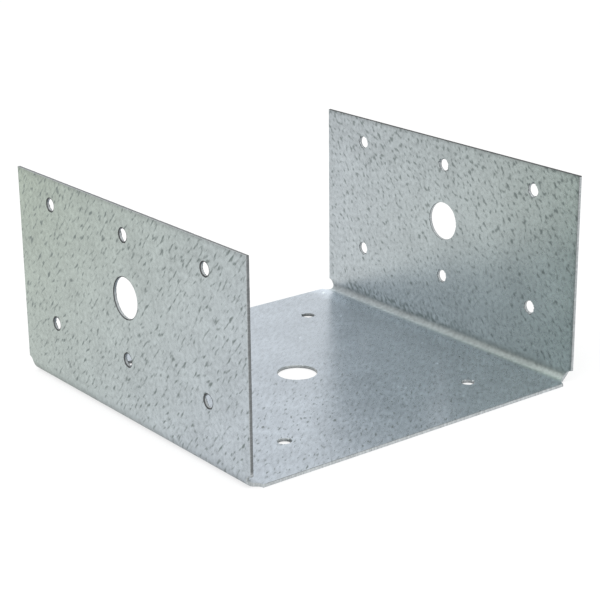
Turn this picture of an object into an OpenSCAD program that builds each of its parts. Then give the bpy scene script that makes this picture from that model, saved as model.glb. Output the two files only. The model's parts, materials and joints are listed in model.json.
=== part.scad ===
// Post cap bracket: one strip of galvanised sheet, punched flat and folded twice into a square channel.
// +X runs across the channel, +Y along the bends and +Z up the flanges.
// The origin is the middle of the base's underside.

/* [Sheet] */
// Thickness of the galvanised sheet
sheet_t = 1.2; // [0.8:0.1:3]
// Inside radius of the two bends
bend_r = 2.4; // [1:0.1:6]

/* [Channel] */
// Clear width between the flanges, which is the width of the post
inside_w = 139.7; // [90:0.1:240]
// Length of the channel, measured along the bends
length = 136.5; // [100:0.1:240]
// Height of the flanges above the base's underside
height = 76.2; // [60:0.1:120]

/* [Bend relief] */
// Radius of the round notch punched at each end of a bend
notch_r = 3; // [1.5:0.1:6]

/* [Flange holes] */
// Diameter of the bolt hole in the middle of each flange
flange_bolt_d = 14.3; // [6:0.1:26]
// Diameter of the nail holes in the flanges
flange_nail_d = 4.4; // [3:0.1:8]
// Distance from a flange's top edge to the upper row of nail holes
flange_nail_top_inset = 9.5; // [6:0.1:16]
// Height of the lower row of nail holes above the base's underside
flange_nail_low_z = 23.2; // [12:0.1:30]
// Distance from a flange's ends to the outer nail holes
flange_nail_end_inset = 21.75; // [8:0.05:40]

/* [Base holes] */
// Diameter of the bolt hole in the middle of the base
base_bolt_d = 14.3; // [6:0.1:40]
// Diameter of the nail holes in the base
base_nail_d = 4.4; // [3:0.1:8]
// Distance from the inside of a flange to the base's nail holes
base_nail_side_inset = 28.85; // [10:0.05:38]
// Distance from the base's ends to its nail holes
base_nail_end_inset = 22.25; // [8:0.05:40]

/* [Hidden] */
$fn = 96;
outside_w = inside_w + 2 * sheet_t;
bend_outer_r = bend_r + sheet_t;
// Every cutter runs this far past the faces that it opens
cut_past = sheet_t;
flange_nail_high_z = height - flange_nail_top_inset;
flange_nail_end_y = length / 2 - flange_nail_end_inset;
flange_bolt_z = (flange_nail_low_z + flange_nail_high_z) / 2;
base_nail_x = inside_w / 2 - base_nail_side_inset;
base_nail_y = length / 2 - base_nail_end_inset;
// A bend's centre line, seen along the bend
bend_x = inside_w / 2 - bend_r;
bend_z = bend_outer_r;
galvanised = [0.71, 0.75, 0.76];

// Outline of a box of width w and height h whose two bottom corners have the radius r
module round_bottomed_outline(w, h, r) {
  translate([-w / 2, r]) square([w, h - r]);
  translate([-w / 2 + r, 0]) square([w - 2 * r, r]);
  for (side = [-1, 1]) translate([side * (w / 2 - r), r]) circle(r);
}

// Section of the folded sheet, with both bends as true arcs of one wall thickness
module channel_section() {
  difference() {
    round_bottomed_outline(outside_w, height, bend_outer_r);
    translate([0, sheet_t]) round_bottomed_outline(inside_w, height, bend_r);
  }
}

module folded_sheet() {
  rotate([90, 0, 0]) linear_extrude(length, center = true) channel_section();
}

// One punch through both flanges, at y along the bends and z above the underside
module flange_punch(d, y, z) {
  translate([0, y, z]) rotate([0, 90, 0]) cylinder(d = d, h = outside_w + 2 * cut_past, center = true);
}

// One punch down through the base
module base_punch(d, x, y) {
  translate([x, y, -cut_past]) cylinder(d = d, h = sheet_t + 2 * cut_past);
}

// Round notch at one end of a bend: its axis halves the angle between the flange and the base
module bend_relief(side, end) {
  reach = 2 * (bend_outer_r + notch_r);
  translate([side * bend_x, end * length / 2, bend_z])
    rotate([0, side * 135, 0])
      cylinder(r = notch_r, h = reach);
}

module flange_holes() {
  flange_punch(flange_bolt_d, 0, flange_bolt_z);
  for (y = [-flange_nail_end_y, 0, flange_nail_end_y], z = [flange_nail_low_z, flange_nail_high_z])
    flange_punch(flange_nail_d, y, z);
}

module base_holes() {
  base_punch(base_bolt_d, 0, 0);
  for (x = [-base_nail_x, base_nail_x], y = [-base_nail_y, base_nail_y])
    base_punch(base_nail_d, x, y);
}

module bracket() {
  color(galvanised)
    difference() {
      folded_sheet();
      flange_holes();
      base_holes();
      for (side = [-1, 1], end = [-1, 1]) bend_relief(side, end);
    }
}

bracket();
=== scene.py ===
import json
import math

import bmesh
import bpy
from mathutils import Matrix, Vector, noise
from mathutils.geometry import delaunay_2d_cdt


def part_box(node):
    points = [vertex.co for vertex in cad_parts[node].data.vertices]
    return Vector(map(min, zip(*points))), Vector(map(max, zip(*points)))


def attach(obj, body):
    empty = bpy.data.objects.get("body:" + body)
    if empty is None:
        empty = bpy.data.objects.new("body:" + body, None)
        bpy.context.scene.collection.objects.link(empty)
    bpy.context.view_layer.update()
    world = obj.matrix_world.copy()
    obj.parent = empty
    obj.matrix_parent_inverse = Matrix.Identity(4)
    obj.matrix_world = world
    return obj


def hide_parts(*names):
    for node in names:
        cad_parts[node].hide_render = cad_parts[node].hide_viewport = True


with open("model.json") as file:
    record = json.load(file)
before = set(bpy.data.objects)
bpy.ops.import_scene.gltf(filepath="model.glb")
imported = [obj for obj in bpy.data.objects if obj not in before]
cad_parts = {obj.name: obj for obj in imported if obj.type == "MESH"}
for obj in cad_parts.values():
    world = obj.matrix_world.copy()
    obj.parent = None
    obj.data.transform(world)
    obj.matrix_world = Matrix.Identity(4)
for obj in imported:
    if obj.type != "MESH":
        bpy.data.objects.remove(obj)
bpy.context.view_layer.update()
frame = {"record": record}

# The sheet: one strip of galvanised steel, sheared to size, punched flat with its bolt holes, nail holes and
# bend reliefs, then folded up twice into a square channel. It is drawn here as that flat blank and folded the
# same way, so that the holes, the cut edges and the marks in the zinc all follow the metal round the bends.
MM = 0.001
mounts = {mount["name"]: mount for mount in frame["record"]["mounts"]}
sheet_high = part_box("bracket")[1]
half_length = sheet_high.y
flange_height = sheet_high.z
half_inside = mounts["right_inner_face"]["pos_m"][0]
sheet_thickness = sheet_high.x - half_inside
bend_inner_radius = 2.4 * MM
bend_outer_radius = bend_inner_radius + sheet_thickness
bend_middle_radius = bend_inner_radius + sheet_thickness / 2
quarter_turn = math.pi / 2

# Distances along the flat blank, from the middle of the base outwards
bend_start = half_inside - bend_inner_radius
bend_end = bend_start + quarter_turn * bend_middle_radius
bend_middle = (bend_start + bend_end) / 2
half_blank = bend_end + flange_height - bend_outer_radius
notch_radius = 3 * MM
notch_steps = 24
edge_step = 0.8 * MM
hole_step = 0.25 * MM
bend_strips = 14
weld_distance = 1e-7

# How a cut looks in section: the depth from the outer face as a share of the thickness, then how far in mm
# the wall falls back into the metal there and how ragged it is. The outer face rolls over and the inner one
# breaks out.
sheared_section = [
    (0.0, 0.14, 0.0), (0.03, 0.06, 0.0), (0.1, 0.015, 0.0), (0.2, 0.0, 0.0),
    (0.5, 0.0, 0.02), (0.75, 0.02, 0.05), (0.94, 0.04, 0.08), (1.0, 0.08, 0.1),
]
bolt_section = [
    (0.0, 0.3, 0.1), (0.03, 0.18, 0.02), (0.1, 0.05, 0.0), (0.24, 0.0, 0.0),
    (0.5, 0.0, 0.03), (0.7, 0.02, 0.1), (0.92, 0.03, 0.2), (1.0, 0.1, 0.25),
]
nail_section = [
    (0.0, 0.4, 0.3), (0.03, 0.22, 0.05), (0.1, 0.06, 0.0), (0.24, 0.0, 0.0),
    (0.45, 0.0, 0.1), (0.65, 0.02, 0.45), (0.9, 0.03, 0.85), (1.0, 0.1, 0.95),
]
largest_nail_hole = 3 * MM
tear_pitch = 0.8 * MM
sharpest_mitre = 0.5
triangles_inside = 1
fill_tolerance = 1e-8


def straight_run(start, end):
    """Points from start up to, and without, end, an edge step apart."""
    count = max(1, round((end - start).length / edge_step))
    return [start.lerp(end, i / count) for i in range(count)]


def reach_along_sheet(off_bisector):
    """How far along the blank from a bend's middle the folded sheet lies that much off the bisector."""
    turned_off = bend_middle_radius * math.sin(quarter_turn / 2)
    if off_bisector <= turned_off:
        return bend_middle_radius * math.asin(off_bisector / bend_middle_radius)
    return bend_middle_radius * quarter_turn / 2 + (off_bisector - turned_off) / math.cos(quarter_turn / 2)


def notch(bend, end):
    """Points round the relief notch of the bend at that signed place, at that end of the blank."""
    points = []
    for i in range(notch_steps + 1):
        turn = math.pi * i / notch_steps
        reach = math.copysign(reach_along_sheet(abs(notch_radius * math.cos(turn))), math.cos(turn))
        points.append(Vector((bend + end * reach, end * (half_length - notch_radius * math.sin(turn)))))
    return points


def blank_outline():
    """The blank's outline, anticlockwise, with a relief notch at both ends of both bends."""
    points = []
    for end in (1, -1):
        first = Vector((end * half_blank, -end * half_length))
        last = Vector((end * half_blank, end * half_length))
        points += straight_run(first, last)
        for bend in (end * bend_middle, -end * bend_middle):
            relief = notch(bend, end)
            points += straight_run(last, relief[0]) + relief[:-1]
            last = relief[-1]
        points += straight_run(last, Vector((-end * half_blank, end * half_length)))
    return points


def hole_outline(along, across, radius):
    """A punched hole's outline, clockwise."""
    count = 2 * round(math.pi * radius / hole_step)
    turns = [-2 * math.pi * i / count for i in range(count)]
    return [Vector((along + radius * math.cos(t), across + radius * math.sin(t))) for t in turns]


def blank_holes():
    """Every hole in the flat blank, as its place along the blank, its place across it and its radius."""
    holes = []
    base_bolt = mounts["base_bolt_hole"]
    holes.append((base_bolt["pos_m"][0], base_bolt["pos_m"][1], base_bolt["dims"]["r_mm"] * MM))
    base_nails = mounts["base_nails"]["dims"]
    for side in (-1, 1):
        for end in (-1, 1):
            along = side * base_nails["spacing_x_mm"] / 2 * MM
            across = end * base_nails["spacing_y_mm"] / 2 * MM
            holes.append((along, across, base_nails["hole_r_mm"] * MM))
    bolt = mounts["flange_bolt_holes"]
    bolt_place = bend_end + bolt["pos_m"][2] - bend_outer_radius
    for side, pattern in ((-1, "left_corner_nails"), (1, "right_corner_nails")):
        nails = mounts[pattern]["dims"]
        holes.append((side * bolt_place, bolt["pos_m"][1], bolt["dims"]["r_mm"] * MM))
        for row in (-1, 1):
            for column in (-1, 0, 1):
                along = side * (bolt_place + row * nails["spacing_y_mm"] / 2 * MM)
                across = column * nails["spacing_x_mm"] / 2 * MM
                holes.append((along, across, nails["hole_r_mm"] * MM))
    return holes


def add_cut(blank, outline, section, finish):
    """Adds the wall of one cut through the sheet and returns its rims on the outer and the inner face."""
    count = len(outline)
    into_metal = []
    for i, point in enumerate(outline):
        before = (point - outline[i - 1]).normalized()
        after = (outline[(i + 1) % count] - point).normalized()
        middle = (before + after).normalized()
        into_metal.append(Vector((-middle.y, middle.x)) / max(sharpest_mitre, middle.dot(after)))
    rings = []
    for depth, fall_back, ragged in section:
        ring = []
        for point, inwards in zip(outline, into_metal):
            tear = abs(noise.noise(Vector((point.x, point.y, depth * sheet_thickness)) / tear_pitch))
            place = point + inwards * (fall_back + ragged * tear) * MM
            ring.append(blank.verts.new((place.x, place.y, depth * sheet_thickness)))
        rings.append(ring)
    for upper, lower in zip(rings, rings[1:]):
        for i in range(count):
            j = (i + 1) % count
            blank.faces.new((upper[i], lower[i], lower[j], upper[j])).material_index = finish
    return rings[0], rings[-1]


def fill_face(blank, rings):
    """Fills the flat face inside the first ring and outside the others with triangles."""
    corners = []
    loops = []
    for ring in rings:
        loop = list(range(len(corners), len(corners) + len(ring)))
        loops.append(loop[::-1] if loops else loop)
        corners += ring
    flat = [vert.co.xy for vert in corners]
    filled = delaunay_2d_cdt(flat, [], loops, triangles_inside, fill_tolerance)
    triangles, sources, holders = filled[2], filled[3], filled[5]
    for triangle, held_by in zip(triangles, holders):
        if list(held_by) == [0]:
            blank.faces.new([corners[sources[i][0]] for i in triangle])


def cut_bends(blank):
    """Cuts the flat blank across both bends into strips narrow enough to fold as arcs."""
    for side in (-1, 1):
        for i in range(bend_strips + 1):
            cut = side * (bend_start + (bend_end - bend_start) * i / bend_strips)
            everything = blank.verts[:] + blank.edges[:] + blank.faces[:]
            bmesh.ops.bisect_plane(
                blank, geom=everything, dist=weld_distance, plane_co=(cut, 0, 0), plane_no=(1, 0, 0)
            )


def fold(place):
    """Where a point of the flat blank lies once folded; its z is the depth from the outer face."""
    radius = bend_outer_radius - place.z
    past_start = abs(place.x) - bend_start
    turned = min(max(past_start / bend_middle_radius, 0.0), quarter_turn)
    x = bend_start + min(past_start, 0.0) + radius * math.sin(turned)
    z = bend_outer_radius - radius * math.cos(turned) + max(abs(place.x) - bend_end, 0.0)
    return Vector((math.copysign(x, place.x), place.y, z))


# The right flange has sprung back a little, which moves the base's reflection in it but is too small to draw
spring_back = math.radians(1.5)


def face_normal(place):
    """Which way the folded sheet's own face looks at a point of the flat blank."""
    turned = min(max((abs(place.x) - bend_start) / bend_middle_radius, 0.0), quarter_turn)
    if place.x > 0:
        turned *= 1 - spring_back / quarter_turn
    outwards = Vector((math.copysign(math.sin(turned), place.x), 0.0, -math.cos(turned)))
    return outwards if place.z < sheet_thickness / 2 else -outwards


zinc_finish, sheared_finish, punched_finish = range(3)


def set_face_normals(mesh):
    """Gives the zinc's faces the normals of the smooth folded sheet; the cuts keep their own."""
    places = [Vector(item.vector) for item in mesh.attributes["flat_place"].data]
    normals = [Vector((0, 0, 0))] * len(mesh.loops)
    for face in mesh.polygons:
        if face.material_index == zinc_finish:
            for corner in face.loop_indices:
                normals[corner] = face_normal(places[mesh.loops[corner].vertex_index])
    mesh.normals_split_custom_set(normals)


def make_sheet():
    """The whole bracket: the blank's two faces and its cuts, folded, with the flat places kept on it."""
    blank = bmesh.new()
    rims = [add_cut(blank, blank_outline(), sheared_section, sheared_finish)]
    for along, across, radius in blank_holes():
        section = nail_section if radius < largest_nail_hole else bolt_section
        rims.append(add_cut(blank, hole_outline(along, across, radius), section, punched_finish))
    for face in (0, 1):
        fill_face(blank, [rim[face] for rim in rims])
    cut_bends(blank)
    flat_place = blank.verts.layers.float_vector.new("flat_place")
    for vert in blank.verts:
        vert[flat_place] = vert.co
        vert.co = fold(vert.co)
    bmesh.ops.recalc_face_normals(blank, faces=blank.faces[:])
    for edge in blank.edges:
        edge.smooth = len({face.material_index for face in edge.link_faces}) == 1
    for face in blank.faces:
        face.smooth = True
    mesh = bpy.data.meshes.new("folded_sheet")
    blank.to_mesh(mesh)
    blank.free()
    set_face_normals(mesh)
    sheet = bpy.data.objects.new("folded_sheet", mesh)
    bpy.context.scene.collection.objects.link(sheet)
    return sheet


def add_node(tree, kind, inputs=None, **settings):
    """Adds one shader node; an input given as a socket is linked, and any other value is set on it."""
    made = tree.nodes.new("ShaderNode" + kind)
    for name, value in settings.items():
        setattr(made, name, value)
    for name, value in (inputs or {}).items():
        if isinstance(value, bpy.types.NodeSocket):
            tree.links.new(value, made.inputs[name])
        else:
            made.inputs[name].default_value = value
    return made


def calculate(tree, operation, *values):
    """One Math node's result."""
    return add_node(tree, "Math", dict(enumerate(values)), operation=operation).outputs[0]


def calculate_vector(tree, operation, first, second):
    """One Vector Math node's result."""
    return add_node(tree, "VectorMath", {0: first, 1: second}, operation=operation).outputs[0]


def multiply(tree, first, *others):
    """Several values multiplied together."""
    product = first
    for value in others:
        product = calculate(tree, "MULTIPLY", product, value)
    return product


def add_weighted(tree, start, *parts):
    """A value plus each mask times its amount."""
    total = start
    for mask, amount in parts:
        total = calculate(tree, "MULTIPLY_ADD", mask, amount, total)
    return total


def mix_colours(tree, factor, first, second, blend="MIX"):
    """One colour Mix node's result."""
    made = add_node(tree, "Mix", {0: factor, 6: first, 7: second}, data_type="RGBA", blend_type=blend)
    return made.outputs[2]


def spread(tree, value, low, high, to_low=0.0, to_high=1.0, smooth=True):
    """A value taken from one range to another, held inside it."""
    inputs = {"Value": value, "From Min": low, "From Max": high, "To Min": to_low, "To Max": to_high}
    made = add_node(tree, "MapRange", inputs, interpolation_type="SMOOTHSTEP" if smooth else "LINEAR")
    return made.outputs["Result"]


def between(tree, share, first, second, smooth=False):
    """A value that goes from the first to the second as the share goes from nought to one."""
    return spread(tree, share, 0.0, 1.0, first, second, smooth)


def new_group(name, inputs, outputs):
    """An empty shader node group with those sockets, and the sockets of its two end nodes."""
    group = bpy.data.node_groups.new(name, "ShaderNodeTree")
    for socket, kind in inputs.items():
        group.interface.new_socket(name=socket, in_out="INPUT", socket_type="NodeSocket" + kind)
    for socket, kind in outputs.items():
        group.interface.new_socket(name=socket, in_out="OUTPUT", socket_type="NodeSocket" + kind)
    return group, group.nodes.new("NodeGroupInput").outputs, group.nodes.new("NodeGroupOutput").inputs


def use_group(tree, group, inputs):
    """Places a group in a material and returns its outputs."""
    return add_node(tree, "Group", inputs, node_tree=group).outputs


# Places on the flat blank in millimetres, which every mark is drawn by. Marks sets the two faces far apart,
# so that each has marks of its own.
face_spacing = 400.0


def make_blank_place():
    """The group that puts out a point's place on the flat blank."""
    outputs = {"Along": "Float", "Across": "Float", "Depth": "Float", "Flat": "Vector", "Marks": "Vector"}
    group, _, out = new_group("blank_place", {}, outputs)
    stored = add_node(group, "Attribute", attribute_name="flat_place").outputs["Vector"]
    flat = add_node(group, "VectorMath", {0: stored, 3: 1 / MM}, operation="SCALE").outputs[0]
    along, across, depth = add_node(group, "SeparateXYZ", {0: flat}).outputs
    marked = calculate(group, "MULTIPLY_ADD", depth, face_spacing, along)
    marks = add_node(group, "CombineXYZ", {"X": marked, "Y": across}).outputs[0]
    for name, value in zip(outputs, (along, across, depth, flat, marks)):
        group.links.new(value, out[name])
    return group


def turn_marks(tree, marks, lie):
    """Places turned by the lie of the marks, so that the marks run along the first axis."""
    turn = {"Vector": marks, "Angle": lie}
    return add_node(tree, "VectorRotate", turn, rotation_type="Z_AXIS").outputs[0]


# Short dark flecks in the zinc that all lie one way: patches of a stretched noise that rise past a level
fleck_softness = 0.26
fleck_detail = 0.9
noise_roughness = 0.5


def make_zinc_flecks():
    """The group that puts out the mask of the flecks."""
    inputs = {"Marks": "Vector", "Lie": "Float", "Length": "Float", "Width": "Float", "Level": "Float"}
    group, given, out = new_group("zinc_flecks", inputs, {"Mask": "Float"})
    turned = turn_marks(group, given["Marks"], given["Lie"])
    cell = add_node(group, "CombineXYZ", {"X": given["Length"], "Y": given["Width"], "Z": 1.0}).outputs[0]
    stretched = calculate_vector(group, "DIVIDE", turned, cell)
    pattern = {"Vector": stretched, "Scale": 1.0, "Detail": fleck_detail, "Roughness": noise_roughness}
    patches = add_node(group, "TexNoise", pattern, noise_dimensions="2D").outputs[0]
    full = calculate(group, "ADD", given["Level"], fleck_softness)
    group.links.new(spread(group, patches, given["Level"], full), out["Mask"])
    return group


# Fine grain of a metal surface, from minus one to one, at the size that is asked for
grain_detail = 1.0
grain_range = (0.25, 0.75)


def make_metal_grain():
    """The group that puts out the grain."""
    group, given, out = new_group("metal_grain", {"Place": "Vector", "Size": "Float"}, {"Grain": "Float"})
    scale = calculate(group, "DIVIDE", 1.0, given["Size"])
    pattern = {"Vector": given["Place"], "Scale": scale, "Detail": grain_detail, "Roughness": noise_roughness}
    grain = add_node(group, "TexNoise", pattern).outputs[0]
    group.links.new(spread(group, grain, *grain_range, -1.0, 1.0, smooth=False), out["Grain"])
    return group


blank_place = make_blank_place()
zinc_flecks = make_zinc_flecks()
metal_grain = make_metal_grain()


def draw_grain(tree, place, size):
    """The metal's grain of that size at a place, both in mm."""
    return use_group(tree, metal_grain, {"Place": place, "Size": size})["Grain"]


# The blank's sizes in mm, as the materials use them
thickness_mm = sheet_thickness / MM
bend_start_mm = bend_start / MM
bend_end_mm = bend_end / MM
bend_middle_mm = bend_middle / MM
blank_end_mm = half_blank / MM
half_length_mm = half_length / MM

# Where each zone of the zinc begins or ends along the blank, in mm from the middle of the base outwards. The
# foot is the strip of base by the right bend, lit by a painted highlight, the hollow is the inside of a bend
# above it, darkened by painted shade, and the fringe is the strip of flange above that, with painted shade
# and denser dark flecks. Painted shade also darkens the outside of each bend towards its lower edge and the
# top rims, and the low zone is a painted darker reflection low on the flanges' inner faces, towards the near
# end.
side_change = (-1.0, 1.0)
foot_begin = (bend_start_mm - 11.0, bend_start_mm - 0.5)
base_end = (bend_start_mm - 2.0, bend_start_mm + 1.0)
foot_end = (bend_start_mm + 0.2, bend_start_mm + 2.0)
hollow_begin = (bend_start_mm + 1.1, bend_start_mm + 2.2)
flange_begin = (bend_end_mm - 1.0, bend_end_mm + 2.0)
fringe_begin = (bend_end_mm - 0.8, bend_end_mm + 0.4)
fringe_end = (bend_end_mm + 6.0, bend_end_mm + 1.5)
# Painted shade on the outside of each bend fades out here, towards the flange
bend_outside_end = (bend_end_mm + 0.4, bend_end_mm - 2.6)
low_end = (bend_end_mm + 22.0, bend_end_mm + 5.0)
top_begin = (blank_end_mm - 26.0, blank_end_mm - 3.0)
top_rim_begin = (blank_end_mm - 1.8, blank_end_mm - 0.1)

# The same across the blank, in mm from its middle, where the near end is negative
near_from = (30.0, -40.0)
fringe_from = (61.0, 54.0)
low_from = (20.0, -5.0)
near_rim_from = (1.7 - half_length_mm, 0.1 - half_length_mm)


def find_zones(tree, place):
    """Masks of the zones that the zinc looks different in, by name."""
    across = place["Across"]
    from_middle = calculate(tree, "ABSOLUTE", place["Along"])
    inner = calculate(tree, "DIVIDE", place["Depth"], thickness_mm)
    outer = calculate(tree, "SUBTRACT", 1.0, inner)
    right = spread(tree, place["Along"], *side_change)
    past_base = spread(tree, from_middle, *base_end)
    flange = spread(tree, from_middle, *flange_begin)
    to_foot = spread(tree, from_middle, *foot_begin)
    foot = calculate(tree, "SUBTRACT", to_foot, spread(tree, from_middle, *foot_end))
    hollow = calculate(tree, "SUBTRACT", spread(tree, from_middle, *hollow_begin), flange)
    fringe = multiply(tree, spread(tree, from_middle, *fringe_begin), spread(tree, from_middle, *fringe_end))
    low = multiply(tree, spread(tree, from_middle, *low_end), flange)
    return {
        "from_middle": from_middle,
        "inner": inner,
        "right": right,
        "past_base": past_base,
        "flange": flange,
        "bend": calculate(tree, "SUBTRACT", past_base, flange),
        "foot": multiply(tree, foot, inner, right),
        "hollow": multiply(tree, hollow, inner),
        "fringe": multiply(tree, fringe, inner, spread(tree, across, *fringe_from)),
        # Painted shade on the outside of each bend, towards its lower edge
        "bend_outside": multiply(tree, spread(tree, from_middle, *bend_outside_end), outer, past_base),
        "low": multiply(tree, low, spread(tree, across, *low_from), inner),
        "near": spread(tree, across, *near_from),
        "top": spread(tree, from_middle, *top_begin),
        "top_rim": spread(tree, from_middle, *top_rim_begin),
        "near_rim": multiply(tree, spread(tree, across, *near_rim_from), inner, flange),
    }


# The flecks: the level that they rise past and what changes it, then their length and width in mm and their
# strength. On the base they are stronger towards the near end, and the fringe has denser ones of its own.
mark_lie = math.radians(-42)
plain_level = 0.572
fringe_level = -0.05
top_level = -0.02
base_level = 0.025
flange_climb = (bend_end_mm + 10.0, blank_end_mm - 8.0)
climb_level = (0.02, -0.03)
outer_length = 3.8
base_length = 3.2
flange_length = 2.35
outer_width = 1.12
base_width = 0.95
flange_width = 1.4
outer_strength = 0.86
inner_strength = 0.72
base_strength = (0.3, 1.25)
base_fade_from = (0.0, 50.0)
base_fade = (1.0, 0.55)
bend_strength = -0.3
# The fringe's own denser dark flecks, on the inner face just above each bend
fringe_fleck_length = 2.4
fringe_fleck_width = 1.25
fringe_fleck_climb = (bend_end_mm, bend_end_mm + 5.0)
fringe_fleck_level = (0.37, 0.49)
fringe_fleck_fade_from = (-28.0, 8.0)
fringe_fleck_strength = (0.1, 0.8)


def draw_flecks(tree, place, zone):
    """How strongly the dark flecks show, the fringe's own denser ones included."""
    from_middle = zone["from_middle"]
    level = add_weighted(tree, plain_level, (zone["fringe"], fringe_level), (zone["top"], top_level))
    level = calculate(tree, "ADD", level, between(tree, zone["past_base"], base_level, 0.0, smooth=True))
    climb = spread(tree, from_middle, *flange_climb, *climb_level)
    level = add_weighted(tree, level, (multiply(tree, zone["flange"], zone["inner"]), climb))
    on_flange = calculate(tree, "GREATER_THAN", from_middle, bend_middle_mm)
    inner_length = between(tree, on_flange, base_length, flange_length)
    inner_width = between(tree, on_flange, base_width, flange_width)
    length = between(tree, zone["inner"], outer_length, inner_length)
    width = between(tree, zone["inner"], outer_width, inner_width)
    shape = {"Marks": place["Marks"], "Lie": mark_lie, "Length": length, "Width": width, "Level": level}
    flecks = use_group(tree, zinc_flecks, shape)["Mask"]

    on_base = between(tree, zone["near"], *base_strength)
    on_base = multiply(tree, on_base, spread(tree, place["Along"], *base_fade_from, *base_fade))
    strength = between(tree, zone["inner"], outer_strength, inner_strength)
    strength = multiply(tree, strength, between(tree, zone["flange"], on_base, 1.0, smooth=True))
    strength = add_weighted(tree, strength, (zone["bend"], bend_strength))

    # The fringe's own denser dark flecks, just above each bend
    risen = spread(tree, from_middle, *fringe_fleck_climb, *fringe_fleck_level, smooth=False)
    fringe_fleck_shape = {**shape, "Length": fringe_fleck_length, "Width": fringe_fleck_width, "Level": risen}
    fringe_flecks = use_group(tree, zinc_flecks, fringe_fleck_shape)["Mask"]
    fringe_fleck_fade = spread(tree, place["Across"], *fringe_fleck_fade_from, *fringe_fleck_strength)
    fringe_flecks = multiply(tree, fringe_flecks, multiply(tree, zone["fringe"], fringe_fleck_fade))
    return calculate(tree, "MAXIMUM", multiply(tree, flecks, strength), fringe_flecks)


# The fine mottle, which is drawn out along the flecks on the base, and the few bright specks of the base
base_draw = (0.36, 1.0, 1.0)
flange_mottle_size = 1.6
base_mottle_size = 1.35
speck_spacing = 9.0
speck_radius = (0.07, 0.03)
speck_chance = (0.5, 0.9)
speck_from = (5.0, 25.0)


def draw_mottle(tree, place, zone):
    """The mottle, from minus one to one, and the mask of the specks."""
    turned = turn_marks(tree, place["Marks"], mark_lie)
    drawn = calculate_vector(tree, "MULTIPLY", turned, base_draw)
    on_flange = draw_grain(tree, place["Marks"], flange_mottle_size)
    on_base = draw_grain(tree, drawn, base_mottle_size)
    mottle = between(tree, zone["past_base"], on_base, on_flange, smooth=True)
    pattern = {"Vector": drawn, "Scale": 1 / speck_spacing}
    cells = add_node(tree, "TexVoronoi", pattern, voronoi_dimensions="2D").outputs
    chance = add_node(tree, "SeparateColor", {0: cells["Color"]}).outputs[0]
    specks = multiply(
        tree,
        spread(tree, cells["Distance"], *speck_radius),
        spread(tree, zone["past_base"], 1.0, 0.0),
        spread(tree, chance, *speck_chance),
        zone["inner"],
        spread(tree, place["Along"], *speck_from),
    )
    return mottle, specks


# The zinc's tint, by the place in mm, with painted reflection in it as well. On the left flange it runs along
# a diagonal of the blank, from green grey at the far top corner to blue grey at the near low one, darker at
# the far top and lighter at the near low corner as painted reflection. The right flange is bluest at its far
# end and lightest and greenest at its near one, lighter there as painted reflection.
left_tints_and_reflection = [
    (-210.0, (0.372, 0.427, 0.366, 1)), (-140.0, (0.402, 0.452, 0.424, 1)),
    (-85.0, (0.428, 0.474, 0.478, 1)), (-28.0, (0.455, 0.499, 0.533, 1)),
]
right_tints_and_reflection = [
    (-68.0, (0.54, 0.608, 0.585, 1)), (-42.0, (0.448, 0.5, 0.488, 1)),
    (0.0, (0.438, 0.485, 0.488, 1)), (60.0, (0.452, 0.493, 0.512, 1)),
]
base_tint = (0.479, 0.533, 0.588, 1)
fleck_grey = (0.15, 0.18, 0.175, 1)

# How much lighter or darker than its tint the zinc is, all over and in each zone. The foot gets a painted
# highlight; the hollow, the outside of the bends, the top and near rims and the fringe get painted shade; low
# on the flanges' inner faces is a painted darker reflection; and the top is darker towards the flanges' tops.
plain_shade = 1.02
base_mottling = (0.12, 0.16)
flange_mottling = 0.15
cloud_size = 16.0
cloud_shade = 0.07
top_shade = (-0.03, -0.08)
hollow_rise = (bend_start_mm + 1.9, bend_end_mm - 0.8)
hollow_shade = (-0.12, -0.36)
foot_highlight_from = (-65.0, 10.0)
foot_highlight = (0.24, 0.52)
speck_light = 0.5
bend_outside_shade = -0.35
top_rim_shade = -0.18
near_rim_shade = -0.26
fringe_shade = -0.08
low_shade = -0.07


def tint_ramp(tree, value, tints):
    """A colour that runs through the given tints, each at its own value."""
    lowest = tints[0][0]
    highest = tints[-1][0]
    ramp = add_node(tree, "ValToRGB", {0: spread(tree, value, lowest, highest, smooth=False)})
    stops = ramp.color_ramp.elements
    while len(stops) < len(tints):
        stops.new(len(stops) / len(tints))
    for stop, (place, colour) in zip(stops, tints):
        stop.position = (place - lowest) / (highest - lowest)
        stop.color = colour
    return ramp.outputs["Color"]


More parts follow.
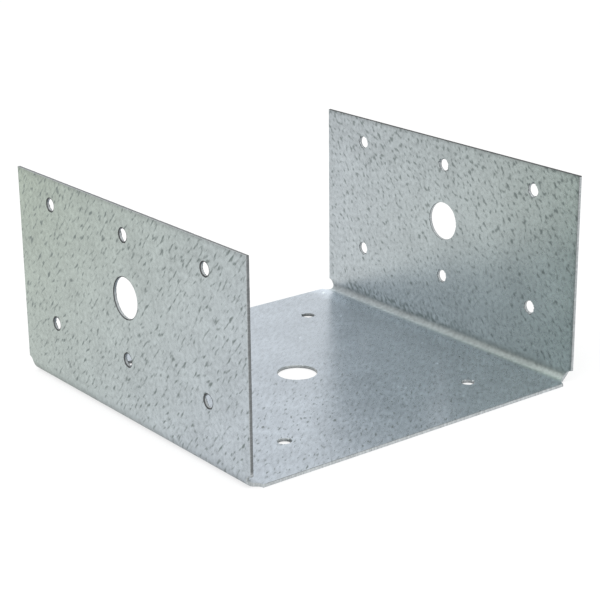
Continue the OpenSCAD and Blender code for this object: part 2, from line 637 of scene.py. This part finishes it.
def zinc_tint_and_painted_light(tree, place, zone, mottle, specks):
    """The zinc's colour between the flecks, its tint with painted reflection, and painted light and shade."""
    diagonal = calculate(tree, "SUBTRACT", place["Along"], place["Across"])
    # The flange tints hold painted reflection as well as the zinc's own tint
    left_tint_and_reflection = tint_ramp(tree, diagonal, left_tints_and_reflection)
    right_tint_and_reflection = tint_ramp(tree, place["Across"], right_tints_and_reflection)
    flange_tint_and_reflection = mix_colours(tree, zone["right"], left_tint_and_reflection, right_tint_and_reflection)
    tint = mix_colours(tree, zone["past_base"], base_tint, flange_tint_and_reflection)
    mottling = between(tree, zone["near"], *base_mottling)
    mottling = between(tree, zone["past_base"], mottling, flange_mottling, smooth=True)
    clouds = draw_grain(tree, place["Marks"], cloud_size)
    shade = add_weighted(
        tree,
        plain_shade,
        (mottle, mottling),
        (clouds, cloud_shade),
        (zone["top"], between(tree, zone["inner"], *top_shade, smooth=True)),
        # Painted shade in the hollow of each bend and a painted highlight on the foot
        (zone["hollow"], spread(tree, zone["from_middle"], *hollow_rise, *hollow_shade, smooth=False)),
        (zone["foot"], spread(tree, place["Across"], *foot_highlight_from, *foot_highlight)),
        (specks, speck_light),
        # Painted shade on the outside of the bends, along the top and near rims and on the fringe, and a
        # painted darker reflection low on the flanges' inner faces
        (zone["bend_outside"], bend_outside_shade),
        (zone["top_rim"], top_rim_shade),
        (zone["near_rim"], near_rim_shade),
        (zone["fringe"], fringe_shade),
        (zone["low"], low_shade),
    )
    return mix_colours(tree, 1.0, tint, shade, "MULTIPLY")


zinc_roughness = 0.28
mottle_roughness = 0.03
fleck_roughness = 0.12
bend_roughness = 0.24
mottle_height = 0.25
fleck_height = -1.0
zinc_bump = 0.12
bump_distance = 0.05 * MM


def new_material(name):
    """A new material and its node tree."""
    material = bpy.data.materials.new(name)
    material.use_nodes = True
    return material, material.node_tree


def finish_metal(tree, colour, roughness, bump, height):
    """Gives an all-metal material its colour, its roughness and its relief."""
    shader = tree.nodes["Principled BSDF"].inputs
    relief = {"Strength": bump, "Distance": bump_distance, "Height": height}
    shader["Metallic"].default_value = 1.0
    tree.links.new(colour, shader["Base Color"])
    tree.links.new(roughness, shader["Roughness"])
    tree.links.new(add_node(tree, "Bump", relief).outputs[0], shader["Normal"])


def make_zinc_coat():
    """The zinc: satin and cool grey, with a slow tint and painted reflection, painted light and shade, fine
    mottle and short dark flecks that lie one way.
    """
    material, tree = new_material("zinc_coat")
    place = use_group(tree, blank_place, {})
    zone = find_zones(tree, place)
    flecks = draw_flecks(tree, place, zone)
    mottle, specks = draw_mottle(tree, place, zone)
    colour = mix_colours(tree, flecks, zinc_tint_and_painted_light(tree, place, zone, mottle, specks), fleck_grey)
    roughness = add_weighted(
        tree,
        zinc_roughness,
        (mottle, mottle_roughness),
        (flecks, fleck_roughness),
        (zone["bend"], bend_roughness),
    )
    height = add_weighted(tree, multiply(tree, flecks, fleck_height), (mottle, mottle_height))
    finish_metal(tree, colour, roughness, zinc_bump, height)
    return material


# Bare cut steel, between a dark and a bright colour, with fine marks drawn out through the thickness
cut_dark = (0.05, 0.052, 0.053, 1)
cut_bright = (0.645, 0.685, 0.7, 1)
cut_draw = (1.0, 1.0, 0.25)
cut_grain_size = 0.5
cut_grain_light = (0.7, 1.1)
cut_roughness = (0.6, 0.42)
cut_bump = 0.3


def make_cut_steel(name, brightness_of):
    """Bare cut steel that is as bright as the given function says."""
    material, tree = new_material(name)
    place = use_group(tree, blank_place, {})
    grain = draw_grain(tree, calculate_vector(tree, "MULTIPLY", place["Flat"], cut_draw), cut_grain_size)
    depth_share = calculate(tree, "DIVIDE", place["Depth"], thickness_mm)
    grain_light = spread(tree, grain, -1.0, 1.0, *cut_grain_light, smooth=False)
    burnish = multiply(tree, brightness_of(tree, place, depth_share), grain_light)
    colour = mix_colours(tree, burnish, cut_dark, cut_bright)
    finish_metal(tree, colour, between(tree, burnish, *cut_roughness), cut_bump, grain)
    return material


# How bright a sheared edge is, by the share of the depth through the sheet and the place along it in mm
arris_depth = (0.97, 0.8)
arris_bright = (0.4, 1.0)
rolled_depth = (0.06, 0.18)
rolled_bright = (0.75, 0.3)
base_bright = 0.86
right_bright = (1.0, 0.72)
top_edge_begin = (blank_end_mm - 0.5, blank_end_mm - 0.2)
top_edge_bright = 0.1
notch_end = (4.2, 5.4)
notch_bright = 0.8


def sheared_brightness(tree, place, depth_share):
    """Bright on the base and in the notches, duller up the flanges, dark along the right one's top."""
    along = place["Along"]
    body = spread(tree, depth_share, *arris_depth, *arris_bright)
    rolled = spread(tree, depth_share, *rolled_depth, *rolled_bright)
    left = spread(tree, along, -bend_end_mm, -bend_start_mm, rolled, base_bright)
    right = spread(tree, along, bend_start_mm, bend_end_mm, *right_bright)
    right = spread(tree, along, *top_edge_begin, right, top_edge_bright)
    straight = multiply(tree, body, calculate(tree, "MINIMUM", left, right))
    from_middle = calculate(tree, "ABSOLUTE", along)
    from_bend = calculate(tree, "ABSOLUTE", calculate(tree, "SUBTRACT", from_middle, bend_middle_mm))
    return spread(tree, from_bend, *notch_end, notch_bright, straight)


# How bright a punched hole's wall is, by the share of the depth and, in the base, the place across it in mm
rim_depth = (0.02, 0.45)
rim_bright = (0.04, 0.8)
break_depth = (0.7, 1.0)
break_bright = (1.0, 0.16)
base_wall_depth = (0.1, 0.9)
base_wall_bright = (0.4, 0.78)
far_hole_from = (10.0, 45.0)
far_hole_bright = (1.0, 0.5)


def punched_brightness(tree, place, depth_share):
    """In the flanges dark at both rims; in the base brightest at the inner rim and duller at the far end."""
    rim = spread(tree, depth_share, *rim_depth, *rim_bright)
    in_flange = multiply(tree, rim, spread(tree, depth_share, *break_depth, *break_bright))
    in_base = spread(tree, depth_share, *base_wall_depth, *base_wall_bright)
    in_base = multiply(tree, in_base, spread(tree, place["Across"], *far_hole_from, *far_hole_bright))
    from_middle = calculate(tree, "ABSOLUTE", place["Along"])
    return spread(tree, from_middle, bend_start_mm, bend_end_mm, in_base, in_flange)


folded_sheet = make_sheet()
folded_sheet.data.materials.append(make_zinc_coat())
folded_sheet.data.materials.append(make_cut_steel("sheared_edge", sheared_brightness))
folded_sheet.data.materials.append(make_cut_steel("punched_hole", punched_brightness))
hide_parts("bracket")
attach(folded_sheet, "root")

# The stage: a plain white floor that keeps the bracket's shadow, in a white studio. Camera, glossy and
# transmitted rays see the floor and the room as white, and the lamp and the room light the metal at a plain
# level.
floor_size = 6.0
floor_drop = 0.1 * MM
floor_white = (0.34, 0.34, 0.34, 1)
floor_glow = 0.71
room_white = (1, 1, 1, 1)
room_light = 0.85
softbox_place = Vector((-0.5, -0.3, 1.3))
softbox_size = 1.0
softbox_power = 6.0


def seen_directly(tree):
    """One for the rays that show the background: camera, glossy and transmitted ones."""
    path = add_node(tree, "LightPath").outputs
    shown = calculate(tree, "MAXIMUM", path["Is Camera Ray"], path["Is Glossy Ray"])
    return calculate(tree, "MAXIMUM", shown, path["Is Transmission Ray"])


def make_floor():
    """The floor, as white paint that the lamp lights and a glow that only the background's rays see."""
    bpy.ops.mesh.primitive_plane_add(size=floor_size, location=(0, 0, -floor_drop))
    floor = bpy.context.object
    floor.name = "floor"
    material, tree = new_material("white_floor")
    tree.nodes.remove(tree.nodes["Principled BSDF"])
    paint = add_node(tree, "BsdfDiffuse", {"Color": floor_white}).outputs[0]
    strength = multiply(tree, seen_directly(tree), floor_glow)
    glow = add_node(tree, "Emission", {"Strength": strength}).outputs[0]
    both = add_node(tree, "AddShader", {0: paint, 1: glow}).outputs[0]
    tree.links.new(both, tree.nodes["Material Output"].inputs["Surface"])
    floor.data.materials.append(material)


def make_room():
    """The white room, which is a little dimmer as a light than it looks."""
    world = bpy.data.worlds.new("white_room")
    bpy.context.scene.world = world
    world.use_nodes = True
    tree = world.node_tree
    background = tree.nodes["Background"].inputs
    background["Color"].default_value = room_white
    tree.links.new(between(tree, seen_directly(tree), room_light, 1.0), background["Strength"])


def make_softbox():
    """A square soft lamp above and to the left, which looks at the bracket's middle."""
    lamp = bpy.data.lights.new("softbox_above", "AREA")
    lamp.size = softbox_size
    lamp.energy = softbox_power
    softbox = bpy.data.objects.new("softbox_above", lamp)
    bpy.context.scene.collection.objects.link(softbox)
    softbox.location = softbox_place
    aim = Vector((0, 0, flange_height / 2)) - softbox_place
    softbox.rotation_euler = aim.to_track_quat("-Z", "Y").to_euler()


make_floor()
make_room()
make_softbox()

# The camera: it stands in front and to the left of the channel, looks a little down into it and is turned by
# half a degree. Its place and lens come from a fit of the bracket's edges and holes to the photograph.
view_azimuth = math.radians(-37.714)
view_elevation = math.radians(18.997)
view_roll = math.radians(-0.584)
view_distance = 607.504 * MM
aim_right = 1.269 * MM
aim_height = 28.794 * MM
sensor_width = 36.0
focal_length = 102.38

view_back = Vector((
    math.sin(view_azimuth) * math.cos(view_elevation),
    -math.cos(view_azimuth) * math.cos(view_elevation),
    math.sin(view_elevation),
))
level_right = Vector((math.cos(view_azimuth), math.sin(view_azimuth), 0))
level_up = view_back.cross(level_right)
view_right = math.cos(view_roll) * level_right + math.sin(view_roll) * level_up
view_up = math.cos(view_roll) * level_up - math.sin(view_roll) * level_right
camera_data = bpy.data.cameras.new("camera")
camera_data.sensor_width = sensor_width
camera_data.lens = focal_length
camera = bpy.data.objects.new("camera", camera_data)
camera.matrix_world = Matrix((view_right, view_up, view_back)).transposed().to_4x4()
camera.location = level_right * aim_right + Vector((0, 0, aim_height)) + view_back * view_distance
bpy.context.scene.collection.objects.link(camera)
bpy.context.scene.camera = camera
bpy.context.scene.view_settings.view_transform = "Standard"
